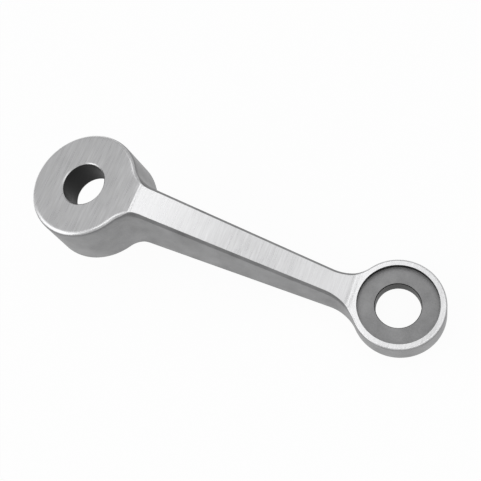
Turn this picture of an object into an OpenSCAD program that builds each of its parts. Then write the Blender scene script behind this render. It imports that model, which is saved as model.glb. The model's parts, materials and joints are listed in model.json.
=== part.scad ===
// Single-arm spider fitting for point-fixed glazing, cast in one piece.
// The hub is clamped to the structure, and the eye at the arm's end holds the glass bolt.
// The hub's axis is Z, its back face lies on z = 0, and the arm runs along +X.

/* [Layout] */
// Distance from the hub's axis to the eye's axis
reach = 141.4; // [120:1:200]
// Drop from the hub's face to the eye's face
eye_drop = 45.5; // [30:0.5:60]

/* [Hub] */
// Diameter of the hub at its face
hub_d = 50.6; // [46:0.1:60]
// Height of the hub
hub_h = 24.5; // [20:0.5:34]
// Draft of the hub's wall, in degrees
hub_draft = 2.3; // [0:0.1:5]
// Diameter of the bore for the stud
bore_d = 20; // [12:0.5:24]
// Chamfer round the mouth of the bore
bore_chamfer = 0.5; // [0.2:0.1:1.5]
// Diameter of the seat in the hub's back
seat_d = 38; // [30:0.5:40]
// Depth of the seat in the hub's back
seat_depth = 9.6; // [4:0.2:14]

/* [Eye] */
// Diameter of the eye at its face
eye_d = 41.3; // [40:0.1:50]
// Thickness of the eye
eye_h = 12.8; // [10:0.2:18]
// Draft of the eye's wall, in degrees
eye_draft = 1.5; // [0:0.5:4]
// Diameter of the hole for the glass bolt
hole_d = 20; // [12:0.5:24]
// Diameter of the washer's recess, the same on both sides
washer_d = 35.8; // [30:0.1:37]
// Depth of the washer's recess, the same on both sides
washer_depth = 2.8; // [1:0.1:3.5]
// Chamfer round the mouths of the eye's hole
hole_chamfer = 0.3; // [0.1:0.1:1]

/* [Arm] */
// Width of the arm's face where it leaves the hub
arm_w_hub = 15; // [12:0.5:20]
// Width of the arm's face where it meets the eye
arm_w_eye = 11.6; // [9:0.1:15]
// Draft of the arm's two sides, in degrees
arm_draft = 8; // [0:0.5:10]
// Flat land between the hub's rim and the bend of the arm
hub_land = 1.9; // [0.5:0.1:4]
// Flat land between the eye's rim and the bend of the arm
eye_land = 0.2; // [0.1:0.1:4]
// Half the length of the soft bend by the hub
hub_blend = 0.8; // [0.2:0.1:1.5]
// Half the length of the soft bend by the eye
eye_blend = 1.7; // [0.2:0.1:2]
// Radius of the fillet between the arm and the hub, at the face
hub_fillet = 14.2; // [10:0.1:20]
// Radius of the fillet between the arm and the eye, at the face
eye_fillet = 18.9; // [12:0.1:24]

/* [Edges] */
// Radius of the edge round the hub's face
hub_edge_r = 2.2; // [1:0.1:3]
// Radius of the edge round the eye's face
eye_edge_r = 0.9; // [0.4:0.1:1.2]
// Width of the bevel along the arm's face, seen from above
arm_bevel = 1.3; // [0.5:0.1:2]
// Radius of the edge round the back
back_edge_r = 0.5; // [0.2:0.1:1]

/* [Hidden] */

steel = [0.74, 0.75, 0.76];
round_fn = 96;      // sides of a drawn circle
face_steps = 6;     // straight steps round the face's edge
back_steps = 2;     // straight steps round the back's edge
fillet_steps = 5;   // steps along a fillet, on each side of its soft bend
bend_steps = 4;     // steps along a soft bend
bite = 0.15;        // how far the fillets run into the hub and the eye
over = 1;           // how far a cut runs past a face

hub_r = hub_d / 2;
hub_back_r = hub_r + hub_h * tan(hub_draft);
eye_r = eye_d / 2;
eye_back_r = eye_r + eye_h * tan(eye_draft);
eye_top = hub_h - eye_drop;
eye_bottom = eye_top - eye_h;
hub_bend = hub_r + hub_land;
eye_bend = reach - eye_r - eye_land;
arm_slope = -eye_drop / (eye_bend - hub_bend);

// ---- edges ----
// An edge level is [angle round the edge, side]. The side is 0 on the back and 1 on the face.
back_levels = [for (i = [0 : back_steps]) [90 * i / back_steps, 0]];
face_levels = [for (i = [0 : face_steps]) [90 * i / face_steps, 1]];
levels = concat(back_levels, face_levels);

// Inset from the wall and distance from the back at one level.
function back_edge(v) = back_edge_r * [1 - sin(v[0]), 1 - cos(v[0])];
// Inset from the wall and distance from the face: round where flat is 0, a bevel where it is 1.
function face_edge(v, size, flat) =
    size * ((1 - flat) * [1 - cos(v[0]), 1 - sin(v[0])] + flat * [v[0], 90 - v[0]] / 90);

// Profile of a round boss with a rounded edge on both sides, for rotate_extrude.
function boss_profile(r_face, r_back, h, edge_r) = concat(
    [[0, 0]],
    [for (v = back_levels) let (e = back_edge(v)) [r_back - e[0], e[1]]],
    [for (v = face_levels) let (e = face_edge(v, edge_r, 0)) [r_face - e[0], h - e[1]]],
    [[0, h]]);

// ---- side view of the arm ----
// Rise past a soft bend whose slope goes from 0 to 1 over its length.
function eased(past, blend) =
    past >= blend ? past :
    past <= -blend ? 0 :
    pow(past + blend, 2) / (4 * blend);
// Height of the face and of the back at x: level over the hub, sloping, level over the eye.
function along(x, start, slope) =
    start + slope * (eased(x - hub_bend, hub_blend) - eased(x - eye_bend, eye_blend));
function face_z(x) = along(x, hub_h, arm_slope);
function back_z(x) = along(x, 0, eye_bottom / (eye_bend - hub_bend));

// ---- plan view of the arm ----
// Half the arm's width at its two bends, on the back or the face.
function half_at_hub(side) = arm_w_hub / 2 + (1 - side) * hub_h * tan(arm_draft);
function half_at_eye(side) = arm_w_eye / 2 + (1 - side) * eye_h * tan(arm_draft);
// Radii of the hub, the eye and the two fillets, on the back or the face.
function hub_at(side) = side == 1 ? hub_r : hub_back_r;
function eye_at(side) = side == 1 ? eye_r : eye_back_r;
function hub_fillet_at(side) = hub_fillet - (1 - side) * hub_h * tan(arm_draft);
function eye_fillet_at(side) = eye_fillet - (1 - side) * eye_h * tan(arm_draft);
// Direction of the arm's side line and its outward normal.
function side_dir(side) =
    let (d = [eye_bend - hub_bend, half_at_eye(side) - half_at_hub(side)])
    d / norm(d);
function outward(d) = [-d[1], d[0]];

// Centre of the fillet that touches the side line and runs into a circle at [cx, 0].
// toward is 1 for the hub, whose fillet lies past it, and -1 for the eye.
function fillet_centre(side, cx, r, f, toward) =
    let (
        d = side_dir(side),
        n = outward(d),
        a = [hub_bend - cx, half_at_hub(side)] * n + f,
        b = sqrt(pow(r + f - bite, 2) - a * a)
    )
    [cx, 0] + a * n + toward * b * d;
function hub_centre(side) = fillet_centre(side, 0, hub_at(side), hub_fillet_at(side), 1);
function eye_centre(side) = fillet_centre(side, reach, eye_at(side), eye_fillet_at(side), -1);

// Where the two fillets start and end along the arm, on the face.
hub_leave = hub_centre(1)[0] * hub_r / (hub_r + hub_fillet);
hub_join = hub_centre(1)[0];
eye_join = eye_centre(1)[0];
eye_meet = reach - (reach - eye_join) * eye_r / (eye_r + eye_fillet);
// Size of the face's edge at x, and how far it is a bevel there.
function edge_size(x) = lookup(x, [
    [hub_leave, hub_edge_r], [hub_join, arm_bevel],
    [eye_join, arm_bevel], [eye_meet, eye_edge_r]]);
function edge_flat(x) = lookup(x, [[hub_leave, 0], [hub_join, 1], [eye_join, 1], [eye_meet, 0]]);

// Point at angle t on a fillet, moved in to one level of the edge.
function fillet_point(c, f, t, v) =
    let (
        x = c[0] + f * cos(t),
        e = v[1] == 0 ? back_edge(v) : face_edge(v, edge_size(x), edge_flat(x)),
        p = c + (f + e[0]) * [cos(t), sin(t)]
    )
    [p[0], p[1], v[1] == 0 ? back_z(p[0]) + e[1] : face_z(p[0]) - e[1]];

// Angles along a fillet from a0 to a1, with steps of their own through the soft bend.
function bent_turns(c, f, a0, a1, bend, blend) =
    let (
        b0 = -acos((bend - blend - c[0]) / f),
        b1 = -acos((bend + blend - c[0]) / f)
    )
    concat(
        [for (i = [0 : fillet_steps - 1]) a0 + (b0 - a0) * i / fillet_steps],
        [for (i = [0 : bend_steps - 1]) b0 + (b1 - b0) * i / bend_steps],
        [for (i = [0 : fillet_steps]) b1 + (a1 - b1) * i / fillet_steps]);

// The arm's edge on its +Y side at one level, from inside the hub to inside the eye.
function side_line(v) =
    let (
        side = v[1],
        n = outward(side_dir(side)),
        fh = hub_fillet_at(side),
        fe = eye_fillet_at(side),
        ch = hub_centre(side),
        ce = eye_centre(side),
        down = atan2(-n[1], -n[0]),
        leave = atan2(-ch[1], -ch[0]),
        meet = atan2(-ce[1], reach - ce[0])
    )
    concat(
        [for (t = bent_turns(ch, fh, leave, down, hub_bend, hub_blend)) fillet_point(ch, fh, t, v)],
        [for (t = bent_turns(ce, fe, down, meet, eye_bend, eye_blend)) fillet_point(ce, fe, t, v)]);

module hub_body() {
    rotate_extrude($fn = round_fn)
        polygon(boss_profile(hub_r, hub_back_r, hub_h, hub_edge_r));
}

module eye_body() {
    translate([reach, 0, eye_bottom])
        rotate_extrude($fn = round_fn)
            polygon(boss_profile(eye_r, eye_back_r, eye_h, eye_edge_r));
}

// The arm is lofted through cross-sections that run up one side and down the other.
module arm_body() {
    left = [for (v = levels) side_line(v)];
    right = [for (line = left) [for (p = line) [p[0], -p[1], p[2]]]];
    k = len(levels);
    loop = 2 * k;
    stations = len(left[0]);
    points = [for (i = [0 : stations - 1]) each concat(
        [for (j = [0 : k - 1]) left[j][i]],
        [for (j = [k - 1 : -1 : 0]) right[j][i]])];
    skin = [for (i = [0 : stations - 2])
        for (j = [0 : loop - 1])
            let (
                a = i * loop + j,
                b = i * loop + (j + 1) % loop
            )
            each [[a, a + loop, b + loop], [a, b + loop, b]]];
    last = (stations - 1) * loop;
    start_cap = [for (j = [0 : k - 2])
        each [[j, j + 1, loop - 2 - j], [j, loop - 2 - j, loop - 1 - j]]];
    end_cap = [for (f = start_cap) [last + f[0], last + f[2], last + f[1]]];
    polyhedron(points, concat(skin, start_cap, end_cap), convexity = 6);
}

// Bore with a chamfered mouth on the face, and the seat in the back.
module hub_cuts() {
    translate([0, 0, -over])
        cylinder(h = hub_h + 2 * over, d = bore_d, $fn = round_fn);
    translate([0, 0, hub_h - bore_chamfer])
        cylinder(
            h = bore_chamfer + over,
            r1 = bore_d / 2,
            r2 = bore_d / 2 + bore_chamfer + over,
            $fn = round_fn);
    translate([0, 0, -over])
        cylinder(h = seat_depth + over, d = seat_d, $fn = round_fn);
}

// Through hole with a washer recess on both sides.
module eye_cuts() {
    core_low = eye_bottom + washer_depth;
    core_high = eye_top - washer_depth;
    translate([reach, 0, eye_bottom - over])
        cylinder(h = eye_h + 2 * over, d = hole_d, $fn = round_fn);
    translate([reach, 0, core_high])
        cylinder(h = washer_depth + over, d = washer_d, $fn = round_fn);
    translate([reach, 0, eye_bottom - over])
        cylinder(h = washer_depth + over, d = washer_d, $fn = round_fn);
    translate([reach, 0, core_high - hole_chamfer])
        cylinder(
            h = hole_chamfer,
            r1 = hole_d / 2,
            r2 = hole_d / 2 + hole_chamfer,
            $fn = round_fn);
    translate([reach, 0, core_low])
        cylinder(
            h = hole_chamfer,
            r1 = hole_d / 2 + hole_chamfer,
            r2 = hole_d / 2,
            $fn = round_fn);
}

module spider_arm() {
    color(steel)
        difference() {
            union() {
                hub_body();
                eye_body();
                arm_body();
            }
            hub_cuts();
            eye_cuts();
        }
}

spider_arm();
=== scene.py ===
"""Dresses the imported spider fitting: one steel casting, its finishes and a small photo studio."""
import json
import math

import bmesh
import bpy
from bpy.props import FloatProperty, FloatVectorProperty, PointerProperty
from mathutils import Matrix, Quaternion, Vector


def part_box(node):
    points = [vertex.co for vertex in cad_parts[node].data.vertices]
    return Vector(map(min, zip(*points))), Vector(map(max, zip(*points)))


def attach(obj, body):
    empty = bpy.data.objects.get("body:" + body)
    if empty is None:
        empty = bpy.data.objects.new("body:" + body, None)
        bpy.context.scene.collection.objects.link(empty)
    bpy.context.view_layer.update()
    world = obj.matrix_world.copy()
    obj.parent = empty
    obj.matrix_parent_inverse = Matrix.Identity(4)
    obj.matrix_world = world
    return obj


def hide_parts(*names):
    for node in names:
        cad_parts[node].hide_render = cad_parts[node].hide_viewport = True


bl_info = {
    "name": "Spider Fitting",
    "version": (1, 0, 0),
    "blender": (4, 5, 0),
    "location": "View3D > Sidebar > Spider Fitting",
    "description": "Builds a cast spider fitting for point-fixed glazing, with its studio",
    "category": "Object",
}

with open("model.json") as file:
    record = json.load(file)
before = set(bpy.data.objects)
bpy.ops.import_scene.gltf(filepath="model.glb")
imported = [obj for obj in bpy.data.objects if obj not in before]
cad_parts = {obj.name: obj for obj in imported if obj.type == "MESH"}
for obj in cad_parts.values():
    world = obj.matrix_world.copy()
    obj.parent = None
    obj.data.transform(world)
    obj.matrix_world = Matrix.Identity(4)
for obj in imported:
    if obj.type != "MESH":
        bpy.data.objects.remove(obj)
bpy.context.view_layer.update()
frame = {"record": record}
NODE = "spider_arm"
LOW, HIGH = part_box(NODE)
MOUNTS = {entry["name"]: entry for entry in frame["record"]["mounts"]}


def mount_radius(name):
    """Radius of a round mount, in metres."""
    return MOUNTS[name]["dims"]["r_mm"] / 1000


def mount_depth(name):
    """Length of a round mount's wall, in metres."""
    return MOUNTS[name]["dims"]["length_mm"] / 1000


def mount_place(name):
    """Position of a mount, in metres."""
    return Vector(MOUNTS[name]["pos_m"])


EYE_FACE = mount_place("washer_floor_face").z + mount_depth("washer_recess_face")


# ---- sizes, colours and studio settings ----

def length(name, description, default):
    """A length in metres."""
    return FloatProperty(
        name=name, description=description, default=default,
        min=0, precision=4, unit="LENGTH")


def angle(name, description, degrees):
    """An angle, given in degrees."""
    return FloatProperty(
        name=name, description=description, default=math.radians(degrees), subtype="ANGLE")


def share(name, description, default):
    """A number from 0 to 1."""
    return FloatProperty(
        name=name, description=description, default=default, min=0, max=1, subtype="FACTOR")


def steel_colour(name, description, grey):
    """A neutral steel colour."""
    return FloatVectorProperty(
        name=name, description=description, default=(grey, grey, grey * 1.01),
        size=3, min=0, max=1, subtype="COLOR")


class CastingSizes(bpy.types.PropertyGroup):
    """Sizes of the casting."""

    reach: length("Reach", "From the hub's axis to the eye's axis", mount_place("eye_hole").x)
    hub_height: length("Hub height", "Height of the hub", HIGH.z)
    hub_draft: angle("Hub draft", "Draft of the hub's wall", 2.3)
    bore_radius: length("Bore radius", "Radius of the hub's bore", mount_radius("hub_bore"))
    bore_chamfer: length("Bore chamfer", "Chamfer round the bore's mouth", 0.0005)
    seat_radius: length("Seat radius", "Radius of the seat in the hub's back",
                        mount_radius("hub_back_seat"))
    seat_depth: length("Seat depth", "Depth of the seat in the hub's back",
                       mount_depth("hub_back_seat"))
    eye_height: length("Eye height", "Thickness of the eye", EYE_FACE - LOW.z)
    eye_draft: angle("Eye draft", "Draft of the eye's wall", 1.5)
    hole_radius: length("Hole radius", "Radius of the eye's hole", mount_radius("eye_hole"))
    hole_chamfer: length("Hole chamfer", "Chamfer round the mouths of the eye's hole", 0.0003)
    washer_radius: length("Washer radius", "Radius of the washer's recesses",
                          mount_radius("washer_recess_face"))
    washer_depth: length("Washer depth", "Depth of the washer's recesses",
                         mount_depth("washer_recess_face"))
    arm_width_hub: length("Arm width at hub", "Width of the arm's face at the hub", 0.015)
    arm_width_eye: length("Arm width at eye", "Width of the arm's face at the eye", 0.0116)
    arm_draft: angle("Arm draft", "Draft of the arm's sides", 8)
    hub_land: length("Hub land", "From the hub's rim to the arm's bend", 0.0019)
    eye_land: length("Eye land", "From the eye's rim to the arm's bend", 0.0002)
    hub_fillet: length("Hub fillet", "Fillet between arm and hub, at the face", 0.0142)
    eye_fillet: length("Eye fillet", "Fillet between arm and eye, at the face", 0.0189)
    hub_edge: length("Hub edge", "Radius of the edge round the hub's face", 0.0022)
    eye_edge: length("Eye edge", "Radius of the edge round the eye's face", 0.0009)
    arm_bevel: length("Arm bevel", "Width of the bevel along the arm's face", 0.0013)
    back_edge: length("Back edge", "Radius of the edge round the back", 0.0005)
    hub_blend: length("Hub blend", "Half the length of the soft bend at the hub", 0.0008)
    eye_blend: length("Eye blend", "Half the length of the soft bend at the eye", 0.0017)


class CastingFinish(bpy.types.PropertyGroup):
    """Colours and roughness of the casting's finishes."""

    ground: steel_colour("Ground steel", "Colour of the ground faces", 0.77)
    ground_roughness: share("Ground roughness", "Roughness of the ground faces", 0.3)
    # The unground skin's colour is partly its own duller tone and partly painted shade. It darkens
    # the walls, back, recesses and the bands under the face edges.
    cast: steel_colour("Cast steel", "Colour of the cast skin on walls, back and recesses", 0.3)
    cast_roughness: share("Cast roughness", "Roughness of the cast skin", 0.5)
    # The colour of the bore, hole, seat and recess walls is painted shade, near black so that they
    # look shaded.
    bore_painted_shade: steel_colour("Bored steel", "Colour of the bore and hole walls", 0.02)
    bored_roughness: share("Bored roughness", "Roughness of the bore and hole walls", 0.45)
    # Past these turns round the edges the darker unground colour begins. It paints the dark band of
    # shade under the edges of the hub, eye and arm faces.
    boss_edge: angle("Ground edge of bosses", "How far round the edge of hub and eye is ground", 48)
    arm_edge: angle("Ground edge of arm", "How far round the edge of the arm is ground", 5)
    edge_fade: angle("Edge fade", "How softly the ground finish ends on an edge", 10)


class StudioSettings(bpy.types.PropertyGroup):
    """Floor, light and camera."""

    floor_colour: FloatVectorProperty(
        name="Floor colour", description="Colour of the floor",
        default=(0.95, 0.95, 0.95), size=3, min=0, max=1, subtype="COLOR")
    floor_glow: share("Floor glow", "Share of plain white in the floor that is seen", 0.95)
    air_colour: FloatVectorProperty(
        name="Air colour", description="Colour of the light from all round",
        default=(0.5, 0.5, 0.5), size=3, min=0, max=1, subtype="COLOR")
    lens: FloatProperty(
        name="Lens", description="Focal length of the camera", default=50.493,
        min=1, unit="CAMERA")
    camera_place: FloatVectorProperty(
        name="Camera place", description="Where the camera stands",
        default=(0.17497, -0.0808, 0.26776), size=3, subtype="TRANSLATION")
    camera_aim: FloatVectorProperty(
        name="Camera aim", description="The point that the camera looks at",
        default=(0.07068, 0.00182, 0), size=3, subtype="TRANSLATION")
    camera_roll: angle("Camera roll", "Turn of the camera about its view", -32.795)


# ---- the casting's shape ----

HUB_STEPS = 44
FILLET_STEPS = 10
BEND_STEPS = 4
ARM_STEPS = 24
EYE_STEPS = 56
EDGE_STEPS = 8
ROW_STEPS = 8
SUPPORT = 0.0004    # how near the rows beside an edge lie
FADE_BEFORE, FADE_AFTER = 0.003, 0.001    # where the ground finish changes, about a bend
SHARP_ANGLE = math.radians(25)
ON_BACK, ON_FACE = 0, 1
FLAT = math.pi / 2    # the turn round an edge at which the face or back begins


def between(start, end, steps):
    """Evenly spaced values after start, up to and with end."""
    return [start + (end - start) * step / steps for step in range(1, steps + 1)]


class CastingShape:
    """Works out the casting's outline, heights and rings of points from its sizes."""

    def __init__(self, sizes):
        self.sizes = sizes
        self.hub_rise = sizes.hub_height * math.tan(sizes.hub_draft)
        self.hub_radius = -LOW.x - self.hub_rise
        self.eye_rise = sizes.eye_height * math.tan(sizes.eye_draft)
        self.eye_radius = HIGH.x - sizes.reach - self.eye_rise
        self.eye_face = EYE_FACE
        self.eye_back = EYE_FACE - sizes.eye_height
        self.hub_bend = self.hub_radius + sizes.hub_land
        self.eye_bend = sizes.reach - self.eye_radius - sizes.eye_land
        plan = Plan(self, ON_FACE)
        self.hub_leave, self.hub_join = plan.leave_hub(0).x, plan.hub_centre.x
        self.eye_join, self.eye_meet = plan.eye_centre.x, plan.meet_eye(0).x

    def height(self, x, side):
        """Height of the face or the back at x: level, sloping, level, with soft bends."""
        start, end = ((0, self.eye_back), (self.sizes.hub_height, self.eye_face))[side]
        slope = (end - start) / (self.eye_bend - self.hub_bend)
        height = start
        for bend, blend, turn in (
                (self.hub_bend, self.sizes.hub_blend, slope),
                (self.eye_bend, self.sizes.eye_blend, -slope)):
            past = x - bend
            if past >= blend:
                height += turn * past
            elif past > -blend:
                height += turn * (past + blend) ** 2 / (4 * blend)
        return height

    def on_arm(self, x):
        """How far the face's edge at x is the arm's: 0 at hub and eye, 1 along the arm."""
        rise = (x - self.hub_leave) / (self.hub_join - self.hub_leave)
        fall = (self.eye_meet - x) / (self.eye_meet - self.eye_join)
        return min(max(min(rise, fall), 0), 1)

    def edge(self, x, turn, side):
        """Inset and distance from the face or back, a turn round the edge from its wall."""
        size, bevel = self.sizes.back_edge, 0
        if side == ON_FACE:
            bevel = self.on_arm(x)
            boss = self.sizes.hub_edge if x < self.hub_join else self.sizes.eye_edge
            size = boss + (self.sizes.arm_bevel - boss) * bevel
        part = turn / FLAT
        return (
            size * ((1 - bevel) * (1 - math.cos(turn)) + bevel * part),
            size * ((1 - bevel) * (1 - math.sin(turn)) + bevel * (1 - part)))

    def ring(self, turn, side, further=0):
        """Closed ring round the casting, a turn round its edge from the wall."""
        half = Plan(self, side).outline(lambda x: self.edge(x, turn, side)[0] + further)
        way = 1 if side == ON_BACK else -1
        upper = [
            Vector((p.x, p.y, self.height(p.x, side) + way * self.edge(p.x, turn, side)[1]))
            for p in half]
        lower = [Vector((p.x, -p.y, p.z)) for p in upper[-2:0:-1]]
        return upper + lower

    def eased_edge(self, x):
        """How far the ground finish at x ends as on the arm: 0 at hub and eye, 1 on the arm."""
        rise = (x - self.hub_bend + FADE_BEFORE) / (FADE_BEFORE + FADE_AFTER)
        fall = (self.eye_bend + FADE_BEFORE - x) / (FADE_BEFORE + FADE_AFTER)
        return min(max(min(rise, fall), 0), 1)


class Plan:
    """Hub, eye, fillets and side line of the +Y half, on the face or the back."""

    def __init__(self, shape, side):
        s = shape.sizes
        self.shape = shape
        back = 1 - side
        widen_hub = back * s.hub_height * math.tan(s.arm_draft)
        widen_eye = back * s.eye_height * math.tan(s.arm_draft)
        self.hub = shape.hub_radius + back * shape.hub_rise
        self.eye = shape.eye_radius + back * shape.eye_rise
        self.hub_fillet = s.hub_fillet - widen_hub
        self.eye_fillet = s.eye_fillet - widen_eye
        self.eye_axis = Vector((s.reach, 0))
        start = Vector((shape.hub_bend, s.arm_width_hub / 2 + widen_hub))
        end = Vector((shape.eye_bend, s.arm_width_eye / 2 + widen_eye))
        way = (end - start).normalized()
        self.outward = Vector((-way.y, way.x))
        self.hub_centre = self.fillet(Vector((0, 0)), self.hub, self.hub_fillet, start, way)
        self.eye_centre = self.fillet(self.eye_axis, self.eye, self.eye_fillet, end, -way)

    def fillet(self, axis, radius, fillet, side_point, way):
        """Centre of the fillet that touches a circle and the arm's side line."""
        offset = (side_point - axis).dot(self.outward) + fillet
        along = math.sqrt((radius + fillet) ** 2 - offset ** 2)
        return axis + self.outward * offset + way * along

    def leave_hub(self, inset):
        """Where the outline leaves the hub's circle."""
        return self.hub_centre * ((self.hub - inset) / (self.hub + self.hub_fillet))

    def meet_eye(self, inset):
        """Where the outline meets the eye's circle."""
        part = (self.eye - inset) / (self.eye + self.eye_fillet)
        return self.eye_axis.lerp(self.eye_centre, part)

    def on_fillet(self, centre, radius, x, inset_at):
        """The fillet's point at x."""
        radius += inset_at(x)
        return Vector((x, centre.y - math.sqrt(radius ** 2 - (x - centre.x) ** 2)))

    def outline(self, inset_at):
        """Points from the hub's far point to the eye's, moved in by an inset that x sets."""
        s, shape = self.shape.sizes, self.shape
        hub_inset, eye_inset = inset_at(-self.hub), inset_at(s.reach + self.eye)
        arm_inset = inset_at((shape.hub_bend + shape.eye_bend) / 2)
        leave_hub, meet_eye = self.leave_hub(hub_inset), self.meet_eye(eye_inset)
        join_arm = self.hub_centre - self.outward * (self.hub_fillet + arm_inset)
        leave_arm = self.eye_centre - self.outward * (self.eye_fillet + arm_inset)

        points = [Vector((hub_inset - self.hub, 0))]
        for turn in between(math.pi, math.atan2(leave_hub.y, leave_hub.x), HUB_STEPS):
            points.append(Vector((math.cos(turn), math.sin(turn))) * (self.hub - hub_inset))
        low, high = shape.hub_bend - s.hub_blend, shape.hub_bend + s.hub_blend
        stations = between(leave_hub.x, low, FILLET_STEPS) + between(low, high, BEND_STEPS)
        stations += between(high, join_arm.x, FILLET_STEPS)
        points += [
            self.on_fillet(self.hub_centre, self.hub_fillet, x, inset_at) for x in stations]
        points += [join_arm.lerp(leave_arm, step) for step in between(0, 1, ARM_STEPS)]
        low, high = shape.eye_bend - s.eye_blend, shape.eye_bend + s.eye_blend
        stations = between(leave_arm.x, low, FILLET_STEPS) + between(low, high, BEND_STEPS)
        stations += between(high, meet_eye.x, FILLET_STEPS)
        points += [
            self.on_fillet(self.eye_centre, self.eye_fillet, x, inset_at) for x in stations]
        meet = meet_eye - self.eye_axis
        for turn in between(math.atan2(meet.y, meet.x), 0, EYE_STEPS):
            away = Vector((math.cos(turn), math.sin(turn))) * (self.eye - eye_inset)
            points.append(self.eye_axis + away)
        return points


HUB_ROW = HUB_STEPS + FILLET_STEPS
EYE_ROW = HUB_ROW + BEND_STEPS + FILLET_STEPS + ARM_STEPS + FILLET_STEPS + BEND_STEPS
HALF_POINTS = EYE_ROW + FILLET_STEPS + EYE_STEPS + 1
# The second material paints shade: it is near black on the bore, hole, seat and recess walls.
SKIN, BORE_SHADE = range(2)    # places of the materials on the mesh
# Points well outside the ground finish take the darker unground colour, which is partly painted
# shade.
GROUND, CAST_AND_SHADE = 5, -5    # well inside the ground finish, and well outside it


class Skin:
    """Collects the points and faces of the casting's mesh."""

    def __init__(self):
        self.points = []
        self.ground = []
        self.faces = []
        self.finishes = []

    def add(self, points, ground):
        """Adds points, says how far inside the ground finish they are, returns their numbers."""
        first = len(self.points)
        self.points += points
        self.ground += ground if isinstance(ground, list) else [ground] * len(points)
        return list(range(first, len(self.points)))

    def bridge(self, one, other, finish, closed=True):
        """Joins two rows of points with quads."""
        for step in range(len(one) - (0 if closed else 1)):
            after = (step + 1) % len(one)
            self.faces.append((one[step], one[after], other[after], other[step]))
            self.finishes.append(finish)

    def circle(self, centre_x, radius, height, turns, ground):
        """Adds a level circle with one point at each angle."""
        return self.add([
            Vector((centre_x + radius * math.cos(turn), radius * math.sin(turn), height))
            for turn in turns], ground)

    def turns(self, loop, centre_x):
        """Angles of a loop's points about a vertical axis."""
        return [
            math.atan2(self.points[point].y, self.points[point].x - centre_x)
            for point in loop]

    def build(self, name):
        """Makes the mesh object, with its sharp edges marked."""
        mesh = bpy.data.meshes.new(name)
        mesh.from_pydata(self.points, [], self.faces)
        mesh.polygons.foreach_set("material_index", self.finishes)
        mesh.attributes.new("ground", "FLOAT", "POINT").data.foreach_set("value", self.ground)
        work = bmesh.new()
        work.from_mesh(mesh)
        bmesh.ops.recalc_face_normals(work, faces=work.faces)
        work.to_mesh(mesh)
        work.free()
        mesh.polygons.foreach_set("use_smooth", [True] * len(mesh.polygons))
        mesh.set_sharp_from_angle(angle=SHARP_ANGLE)
        piece = bpy.data.objects.new(name, mesh)
        bpy.context.scene.collection.objects.link(piece)
        return piece


def ground_ring(shape, finish, ring, turn):
    """How far each point of a ring on the face's edge is inside the ground finish."""
    # Past these limits the darker unground colour paints the band of shade under the face edges.
    limits = [
        finish.boss_edge + (finish.arm_edge - finish.boss_edge) * shape.eased_edge(point.x)
        for point in ring]
    return [(limit - turn) / finish.edge_fade + 0.5 for limit in limits]


def add_walls(skin, shape, finish):
    """Adds the wall, from the back's flat, round both edges, to the face's flat."""
    turns = [FLAT * step / EDGE_STEPS for step in range(EDGE_STEPS + 1)]
    back = [shape.ring(turn, ON_BACK) for turn in reversed(turns)]
    face = [shape.ring(turn, ON_FACE) for turn in turns]
    supports = []
    for near, far in ((back[-1], face[0]), (face[0], back[-1])):
        supports.append([
            a + (b - a).normalized() * SUPPORT for a, b in zip(near, far)])
    loops = [skin.add(shape.ring(FLAT, ON_BACK, SUPPORT), CAST_AND_SHADE)]
    loops += [skin.add(ring, CAST_AND_SHADE) for ring in back + supports]
    loops += [
        skin.add(ring, ground_ring(shape, finish, ring, FLAT - turn))
        for ring, turn in zip(face, turns)]
    loops.append(skin.add(shape.ring(FLAT, ON_FACE, SUPPORT), GROUND))
    for loop, after in zip(loops, loops[1:]):
        skin.bridge(loop, after, SKIN)
    return loops[0], loops[-1]


def close_side(skin, ring, ground):
    """Covers the face or the back up to the round openings, and returns their loops."""
    def mirrored(step):
        return ring[-step] if 0 < step < HALF_POINTS - 1 else ring[step]

    rows = []
    for step in range(HUB_ROW, EYE_ROW + 1):
        start, end = (skin.points[point] for point in (ring[step], mirrored(step)))
        inner = [start.lerp(end, part) for part in between(0, 1, ROW_STEPS)[:-1]]
        rows.append([ring[step]] + skin.add(inner, ground) + [mirrored(step)])
    for row, after in zip(rows, rows[1:]):
        skin.bridge(row, after, SKIN, closed=False)
    hub_loop = [mirrored(step) for step in range(HUB_ROW, 0, -1)]
    hub_loop += ring[:HUB_ROW + 1] + rows[0][1:-1]
    eye_loop = ring[EYE_ROW:HALF_POINTS]
    eye_loop += [mirrored(step) for step in range(HALF_POINTS - 2, EYE_ROW - 1, -1)]
    eye_loop += rows[-1][-2:0:-1]
    return hub_loop, eye_loop


def line_opening(skin, centre_x, profile, face_loop, back_loop):
    """Lines a round opening from the face's loop, down its profile, to the back's loop."""
    turns = skin.turns(face_loop, centre_x)
    before = face_loop
    for radius, height, finish, ground in profile:
        circle = skin.circle(centre_x, radius, height, turns, ground)
        skin.bridge(before, circle, finish)
        before = circle
    skin.bridge(before, back_loop, SKIN)


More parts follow.
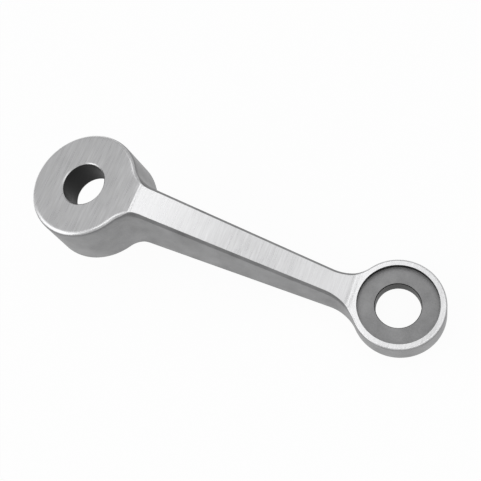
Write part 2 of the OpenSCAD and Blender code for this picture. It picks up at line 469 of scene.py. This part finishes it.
def build_casting(sizes, finish):
    """Builds the casting as one closed mesh."""
    shape = CastingShape(sizes)
    skin = Skin()
    back, face = add_walls(skin, shape, finish)
    back_hub, back_eye = close_side(skin, back, CAST_AND_SHADE)
    face_hub, face_eye = close_side(skin, face, GROUND)

    bore, chamfer = sizes.bore_radius, sizes.bore_chamfer
    line_opening(skin, 0, [
        (bore + chamfer, sizes.hub_height, SKIN, GROUND),
        (bore, sizes.hub_height - chamfer, SKIN, GROUND),
        (bore, sizes.seat_depth, BORE_SHADE, CAST_AND_SHADE),
        (sizes.seat_radius, sizes.seat_depth, SKIN, CAST_AND_SHADE),
        (sizes.seat_radius, 0, BORE_SHADE, CAST_AND_SHADE),
    ], face_hub, back_hub)

    hole, chamfer = sizes.hole_radius, sizes.hole_chamfer
    floor = shape.eye_face - sizes.washer_depth
    ceiling = shape.eye_back + sizes.washer_depth
    line_opening(skin, sizes.reach, [
        (sizes.washer_radius, shape.eye_face, SKIN, GROUND),
        (sizes.washer_radius, floor, BORE_SHADE, CAST_AND_SHADE),
        (hole + chamfer, floor, SKIN, CAST_AND_SHADE),
        (hole, floor - chamfer, BORE_SHADE, CAST_AND_SHADE),
        (hole, ceiling + chamfer, BORE_SHADE, CAST_AND_SHADE),
        (hole + chamfer, ceiling, BORE_SHADE, CAST_AND_SHADE),
        (sizes.washer_radius, ceiling, SKIN, CAST_AND_SHADE),
        (sizes.washer_radius, shape.eye_back, BORE_SHADE, CAST_AND_SHADE),
    ], face_eye, back_eye)
    return skin.build("fitting")


# ---- shader maths ----

class Wire:
    """A shader output that Python's operators work on."""

    def __init__(self, sheet, socket):
        self.sheet = sheet
        self.socket = socket

    def __add__(self, other):
        return self.sheet.maths("ADD", self, other)

    def __sub__(self, other):
        return self.sheet.maths("SUBTRACT", self, other)

    def __rsub__(self, other):
        return self.sheet.maths("SUBTRACT", other, self)

    def __mul__(self, other):
        return self.sheet.maths("MULTIPLY", self, other)

    __radd__ = __add__
    __rmul__ = __mul__


class Sheet:
    """The node sheet of one material or of the world."""

    def __init__(self, owner):
        owner.use_nodes = True
        self.tree = owner.node_tree
        self.tree.nodes.clear()

    def add(self, kind, settings=None, inputs=None, output=0):
        """Adds a node, sets it up, feeds its sockets and returns one of its outputs."""
        node = self.tree.nodes.new(kind)
        for name, value in (settings or {}).items():
            setattr(node, name, value)
        for name, value in (inputs or {}).items():
            if isinstance(value, Wire):
                self.tree.links.new(value.socket, node.inputs[name])
            else:
                node.inputs[name].default_value = value
        return Wire(self, node.outputs[output]) if len(node.outputs) else None

    def maths(self, operation, first, second):
        """A Math node on two values."""
        return self.add("ShaderNodeMath", {"operation": operation}, {0: first, 1: second})

    def clamp(self, value):
        """A value held between 0 and 1."""
        return self.add("ShaderNodeClamp", {}, {"Value": value})

    def blend(self, factor, first, second):
        """A colour between two colours."""
        return self.add(
            "ShaderNodeMix", {"data_type": "RGBA"}, {"Factor": factor, 6: first, 7: second},
            output=2)

    def tint(self, shade, colour, spread):
        """A colour made darker or lighter by up to a spread, as a shade goes from 0 to 1."""
        dark = [channel * (1 - spread) for channel in colour] + [1]
        light = [channel * (1 + spread) for channel in colour] + [1]
        return self.blend(shade, dark, light)

    def noise(self, place, cell, detail=2.0, rough=0.5):
        """Smooth noise with cells of a given size along X, Y and Z."""
        spread = self.add(
            "ShaderNodeMapping", {}, {"Vector": place, "Scale": [1 / size for size in cell]})
        return self.add(
            "ShaderNodeTexNoise", {},
            {"Vector": spread, "Scale": 1.0, "Detail": detail, "Roughness": rough})

    def bump(self, height):
        """Surface relief of a height in metres."""
        return self.add(
            "ShaderNodeBump", {}, {"Height": height, "Distance": 1.0, "Strength": 1.0})


# Spreads of colour and of roughness over each finish, and the depths of its relief in metres.
GROUND_SPREAD, CAST_SPREAD, BORED_SPREAD = 0.32, 0.6, 0.3
GROUND_ROUGH_SPREAD, CAST_ROUGH_SPREAD, BORED_ROUGH_SPREAD = 0.3, 0.2, 0.2
MARK_DEPTH, GRAIN_DEPTH, RING_DEPTH = 0.000006, 0.00002, 0.00001


def grinding_marks(sheet, place):
    """Short fine scratches across the arm, over the soft patches that the belt leaves."""
    fine = sheet.noise(place, (0.0005, 0.008, 0.0005), 2.0)
    longer = sheet.noise(place, (0.0011, 0.018, 0.0011), 2.0)
    patches = sheet.noise(place, (0.007, 0.012, 0.007), 2.0)
    return 0.4 * fine + 0.35 * longer + 0.25 * patches


def cast_grain(sheet, place):
    """Soft clouding of the cast skin over the grain that blasting leaves."""
    cloud = sheet.noise(place, (0.009, 0.009, 0.009), 3.0)
    grain = sheet.noise(place, (0.0005, 0.0005, 0.0005), 2.0)
    return 0.7 * cloud + 0.3 * grain


def boring_marks(sheet, place):
    """Fine rings left by the boring tool."""
    return sheet.noise(place, (0.02, 0.02, 0.00025), 2.0, 0.6)


def finish_steel(sheet, colour, roughness, height):
    """Covers a material's sheet with a steel of a given colour, roughness and relief."""
    surface = sheet.add("ShaderNodeBsdfPrincipled", {}, {
        "Base Color": colour, "Metallic": 1.0, "Roughness": roughness,
        "Normal": sheet.bump(height)})
    sheet.add("ShaderNodeOutputMaterial", {}, {"Surface": surface})


def skin_steel_and_shade(finish):
    """Outer skin: belt-ground on the faces, left as from the mould and blasted everywhere else; the
    darker colour there is partly the skin's own duller tone and partly painted shade.
    """
    material = bpy.data.materials.new("skin_steel_and_shade")
    sheet = Sheet(material)
    place = sheet.add("ShaderNodeTexCoord", {}, {}, output="Object")
    marks = grinding_marks(sheet, place)
    grain = cast_grain(sheet, place)
    inside = sheet.add("ShaderNodeAttribute", {"attribute_name": "ground"}, {}, output="Fac")
    ground = sheet.clamp(inside)
    # Unground points take a darker colour, partly painted shade, on the walls, back, recesses and
    # edge bands.
    colour = sheet.blend(
        ground, sheet.tint(grain, finish.cast, CAST_SPREAD),
        sheet.tint(marks, finish.ground, GROUND_SPREAD))
    ground_rough = finish.ground_roughness + GROUND_ROUGH_SPREAD * (marks - 0.5)
    cast_rough = finish.cast_roughness + CAST_ROUGH_SPREAD * (grain - 0.5)
    roughness = ground * ground_rough + (1 - ground) * cast_rough
    height = ground * (MARK_DEPTH * marks) + (1 - ground) * (GRAIN_DEPTH * grain)
    finish_steel(sheet, colour, roughness, height)
    return material


def shaded_bore_steel(finish):
    """Walls of the bore, the hole, the seat and the recesses, painted near black as shade."""
    material = bpy.data.materials.new("shaded_bore_steel")
    sheet = Sheet(material)
    place = sheet.add("ShaderNodeTexCoord", {}, {}, output="Object")
    rings = boring_marks(sheet, place)
    # The near black colour of these walls is painted shade.
    finish_steel(
        sheet, sheet.tint(rings, finish.bore_painted_shade, BORED_SPREAD),
        finish.bored_roughness + BORED_ROUGH_SPREAD * (rings - 0.5), RING_DEPTH * rings)
    return material


# ---- the studio ----

def white_floor(studio):
    """A pale floor that is seen as white and keeps the shadow."""
    material = bpy.data.materials.new("floor_white")
    sheet = Sheet(material)
    paper = sheet.add("ShaderNodeBsdfDiffuse", {}, {"Color": [*studio.floor_colour, 1]})
    glow = sheet.add("ShaderNodeEmission", {}, {"Color": (1, 1, 1, 1), "Strength": 1.0})
    seen = sheet.add("ShaderNodeLightPath", {}, {}, output="Is Camera Ray")
    mirrored = Wire(sheet, seen.socket.node.outputs["Is Glossy Ray"])
    through = Wire(sheet, seen.socket.node.outputs["Is Transmission Ray"])
    surface = sheet.add("ShaderNodeMixShader", {}, {
        0: (seen + mirrored + through) * studio.floor_glow, 1: paper, 2: glow})
    sheet.add("ShaderNodeOutputMaterial", {}, {"Surface": surface})
    return material


FLOOR_HALF, FLOOR_GAP = 2, 0.0005


def lay_floor(studio):
    """A wide floor under the fitting."""
    work = bmesh.new()
    bmesh.ops.create_grid(work, x_segments=8, y_segments=8, size=FLOOR_HALF)
    mesh = bpy.data.meshes.new("floor")
    work.to_mesh(mesh)
    work.free()
    mesh.materials.append(white_floor(studio))
    floor = bpy.data.objects.new("floor", mesh)
    floor.location = (0, 0, LOW.z - FLOOR_GAP)
    bpy.context.scene.collection.objects.link(floor)


def fill_air(studio):
    """Even pale light from all round."""
    world = bpy.data.worlds.new("studio_air")
    bpy.context.scene.world = world
    sheet = Sheet(world)
    air = sheet.add("ShaderNodeBackground", {}, {
        "Color": [*studio.air_colour, 1], "Strength": 1.0})
    sheet.add("ShaderNodeOutputWorld", {}, {"Surface": air})


def hang_softbox(name, place, aim, width, height, brightness):
    """A rectangular lamp aimed at a point, as bright as white paper times its brightness."""
    lamp = bpy.data.lights.new(name, "AREA")
    lamp.shape = "RECTANGLE"
    lamp.size = width
    lamp.size_y = height
    lamp.energy = brightness * math.pi * width * height
    box = bpy.data.objects.new(name, lamp)
    box.location = place
    way = Vector(place) - Vector(aim)
    box.rotation_euler = way.to_track_quat("Z", "Y").to_euler()
    bpy.context.scene.collection.objects.link(box)


# Softboxes in a row overhead: name, place along X, width, and brightness as for hang_softbox.
ROW_Y, ROW_HEIGHT, ROW_LENGTH = 0.13, 0.6, 0.75
OVERHEAD_ROW = (
    ("near_softbox", -0.03, 0.2, 1.0),
    ("overhead_softbox", 0.255, 0.16, 1.0),
    ("middle_softbox", 0.44, 0.2, 0.2),
    ("end_softbox", 0.76, 0.44, 0.6),
)


def set_camera(studio):
    """The camera, at its place, aimed and rolled."""
    lens = bpy.data.cameras.new("camera")
    lens.lens = studio.lens
    lens.clip_start = 0.01
    camera = bpy.data.objects.new("camera", lens)
    place = Vector(studio.camera_place)
    aim = Vector(studio.camera_aim) - place
    camera.rotation_mode = "QUATERNION"
    camera.rotation_quaternion = (
        aim.to_track_quat("-Z", "Y") @ Quaternion((0, 0, 1), studio.camera_roll))
    camera.location = place
    bpy.context.scene.collection.objects.link(camera)
    bpy.context.scene.camera = camera


# ---- operators, panel and registration ----

class SPIDER_OT_casting(bpy.types.Operator):
    """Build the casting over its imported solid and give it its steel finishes"""

    bl_idname = "spider.casting"
    bl_label = "Casting"

    def execute(self, context):
        finish = context.scene.spider_finish
        piece = build_casting(context.scene.spider_sizes, finish)
        piece.data.materials.append(skin_steel_and_shade(finish))
        piece.data.materials.append(shaded_bore_steel(finish))
        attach(piece, "root")
        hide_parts(NODE)
        return {"FINISHED"}


class SPIDER_OT_stage(bpy.types.Operator):
    """Lay the floor, hang the lamps and set the camera"""

    bl_idname = "spider.stage"
    bl_label = "Stage"

    def execute(self, context):
        studio = context.scene.spider_studio
        lay_floor(studio)
        fill_air(studio)
        for name, x, width, brightness in OVERHEAD_ROW:
            hang_softbox(
                name, (x, ROW_Y, ROW_HEIGHT), (x, ROW_Y, 0), width, ROW_LENGTH, brightness)
        hang_softbox(
            "side_softbox", place=(-0.5, -0.45, 0.47), aim=(0.05, 0, 0),
            width=0.8, height=0.75, brightness=0.95)
        set_camera(studio)
        context.scene.view_settings.view_transform = "Standard"
        return {"FINISHED"}


class SPIDER_PT_panel(bpy.types.Panel):
    """Sidebar panel of the spider fitting"""

    bl_idname = "SPIDER_PT_panel"
    bl_label = "Spider Fitting"
    bl_space_type = "VIEW_3D"
    bl_region_type = "UI"
    bl_category = "Spider Fitting"

    def draw(self, context):
        for group in ("spider_sizes", "spider_finish", "spider_studio"):
            settings = getattr(context.scene, group)
            box = self.layout.box()
            for name in settings.__annotations__:
                box.prop(settings, name)
        self.layout.operator(SPIDER_OT_casting.bl_idname)
        self.layout.operator(SPIDER_OT_stage.bl_idname)


CLASSES = (
    CastingSizes, CastingFinish, StudioSettings,
    SPIDER_OT_casting, SPIDER_OT_stage, SPIDER_PT_panel)


def register():
    """Registers the classes and hangs their settings on the scene."""
    for entry in CLASSES:
        bpy.utils.register_class(entry)
    bpy.types.Scene.spider_sizes = PointerProperty(type=CastingSizes)
    bpy.types.Scene.spider_finish = PointerProperty(type=CastingFinish)
    bpy.types.Scene.spider_studio = PointerProperty(type=StudioSettings)


def unregister():
    """Takes the settings and the classes away again."""
    del bpy.types.Scene.spider_studio
    del bpy.types.Scene.spider_finish
    del bpy.types.Scene.spider_sizes
    for entry in reversed(CLASSES):
        bpy.utils.unregister_class(entry)


def main():
    """Builds everything."""
    register()
    bpy.ops.spider.stage()
    bpy.ops.spider.casting()


if __name__ == "__main__":
    main()
